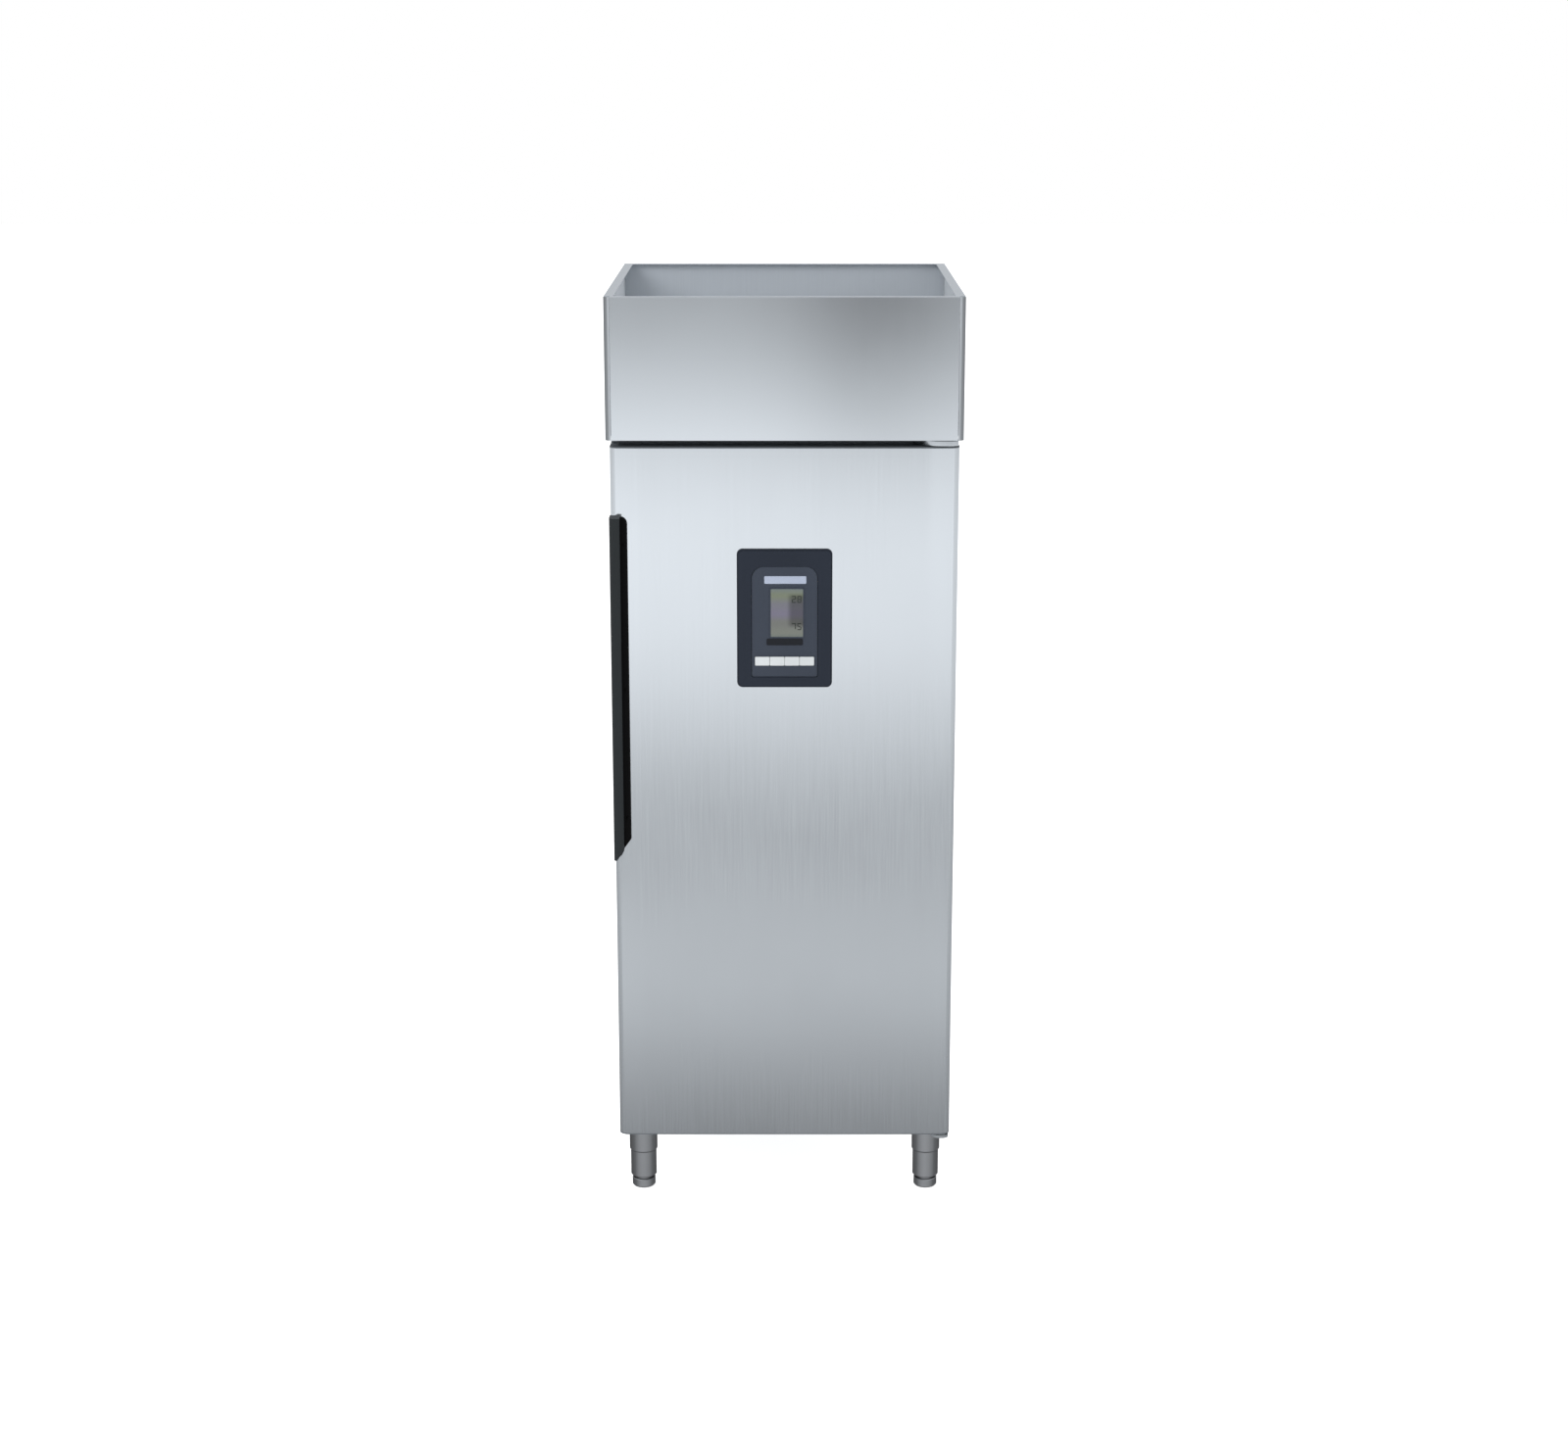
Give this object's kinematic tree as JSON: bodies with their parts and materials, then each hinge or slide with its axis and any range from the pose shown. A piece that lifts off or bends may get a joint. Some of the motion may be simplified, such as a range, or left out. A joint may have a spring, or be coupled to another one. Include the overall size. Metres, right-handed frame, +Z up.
{
  "type": "proofing cabinet",
  "caption": "Upright insulated stainless cabinet for proofing dough: hinged full-height door with handle and controller, open-topped service collar, tray racks, fan and levelling feet.",
  "frame": {"origin": "on the floor, under the middle of the bounding box", "axes": "+X to the right as seen from the front, +Y from the door towards the back, +Z up"},
  "size_m": [0.75, 0.87, 2.02],
  "materials": {
    "stainless": "satin",
    "liner_steel": "satin",
    "chrome_wire": "polished",
    "zinc_steel": "matte",
    "sheath": "satin",
    "foam": "matte",
    "black_plastic": "matte",
    "bezel_plastic": "satin",
    "module_plastic": "satin",
    "grey_plastic": "matte",
    "gasket_rubber": "matte",
    "white_plastic": "gloss",
    "lens": "gloss",
    "board": "satin"
  },
  "bodies": {
    "cabinet": {"side_panel_right": "stainless", "side_panel_left": "stainless", "back_panel": "stainless", "base_pan": "stainless", "roof_panel": "stainless", "cabinet_insulation": "foam", "chamber_liner": "liner_steel", "front_frame": "grey_plastic", "fascia_panel": "stainless", "collar_side_right": "stainless", "collar_side_left": "stainless", "collar_back": "stainless", "control_box": "zinc_steel", "control_box_lid": "zinc_steel", "mains_cable": "black_plastic", "fan_motor": "zinc_steel", "steam_generator": "liner_steel", "steam_pipe": "liner_steel", "water_valve": "black_plastic", "water_hose": "grey_plastic", "ceiling_plenum": "liner_steel", "fan_guard": "liner_steel", "heating_element": "sheath", "humidity_probe": "zinc_steel", "rack_right": "liner_steel", "rack_left": "liner_steel", "wire_shelf_1": "chrome_wire", "wire_shelf_2": "chrome_wire", "wire_shelf_3": "chrome_wire", "drain_spout": "grey_plastic", "leg_front_left": "stainless", "leg_front_right": "stainless", "leg_rear_left": "stainless", "leg_rear_right": "stainless", "hinge_bracket_upper": "stainless", "hinge_bracket_lower": "stainless", "hinge_pin_upper": "zinc_steel", "hinge_pin_lower": "zinc_steel"},
    "door": {"door_outer_skin": "stainless", "door_inner_skin": "liner_steel", "door_insulation": "foam", "door_cap_upper": "black_plastic", "door_cap_lower": "black_plastic", "door_gasket": "gasket_rubber", "door_handle": "black_plastic", "hinge_bush_upper": "white_plastic", "hinge_bush_lower": "white_plastic", "control_bezel": "bezel_plastic", "display_module": "module_plastic", "display_window": "lens", "circuit_board": "board"},
    "impeller": {"fan_impeller": "grey_plastic"},
    "key_1": {"key_1": "white_plastic"},
    "key_2": {"key_2": "white_plastic"},
    "key_3": {"key_3": "white_plastic"},
    "key_4": {"key_4": "white_plastic"},
    "foot_front_left": {"foot_front_left": "zinc_steel"},
    "foot_front_right": {"foot_front_right": "zinc_steel"},
    "foot_rear_left": {"foot_rear_left": "zinc_steel"},
    "foot_rear_right": {"foot_rear_right": "zinc_steel"}
  },
  "joints": [
    {"name": "door_hinge", "type": "hinge", "parent": "cabinet", "child": "door", "pos_m": [0.345, -0.384, 0.938], "axis": [0, 0, 1], "range_deg": [0, 110]},
    {"name": "fan_spin", "type": "hinge", "parent": "cabinet", "child": "impeller", "pos_m": [0, 0.12, 1.65], "axis": [0, 0, 1], "continuous": true},
    {"name": "key_1_press", "type": "slide", "parent": "door", "child": "key_1", "axis": [0, 1, 0], "range_m": [0, 0.0012], "stiffness_N_per_m": 400, "springref_m": -0.001},
    {"name": "key_2_press", "type": "slide", "parent": "door", "child": "key_2", "axis": [0, 1, 0], "range_m": [0, 0.0012], "stiffness_N_per_m": 400, "springref_m": -0.001},
    {"name": "key_3_press", "type": "slide", "parent": "door", "child": "key_3", "axis": [0, 1, 0], "range_m": [0, 0.0012], "stiffness_N_per_m": 400, "springref_m": -0.001},
    {"name": "key_4_press", "type": "slide", "parent": "door", "child": "key_4", "axis": [0, 1, 0], "range_m": [0, 0.0012], "stiffness_N_per_m": 400, "springref_m": -0.001},
    {"name": "foot_front_left_level", "type": "slide", "parent": "cabinet", "child": "foot_front_left", "axis": [0, 0, -1], "range_m": [0, 0.03]},
    {"name": "foot_front_right_level", "type": "slide", "parent": "cabinet", "child": "foot_front_right", "axis": [0, 0, -1], "range_m": [0, 0.03]},
    {"name": "foot_rear_left_level", "type": "slide", "parent": "cabinet", "child": "foot_rear_left", "axis": [0, 0, -1], "range_m": [0, 0.03]},
    {"name": "foot_rear_right_level", "type": "slide", "parent": "cabinet", "child": "foot_rear_right", "axis": [0, 0, -1], "range_m": [0, 0.03]}
  ]
}
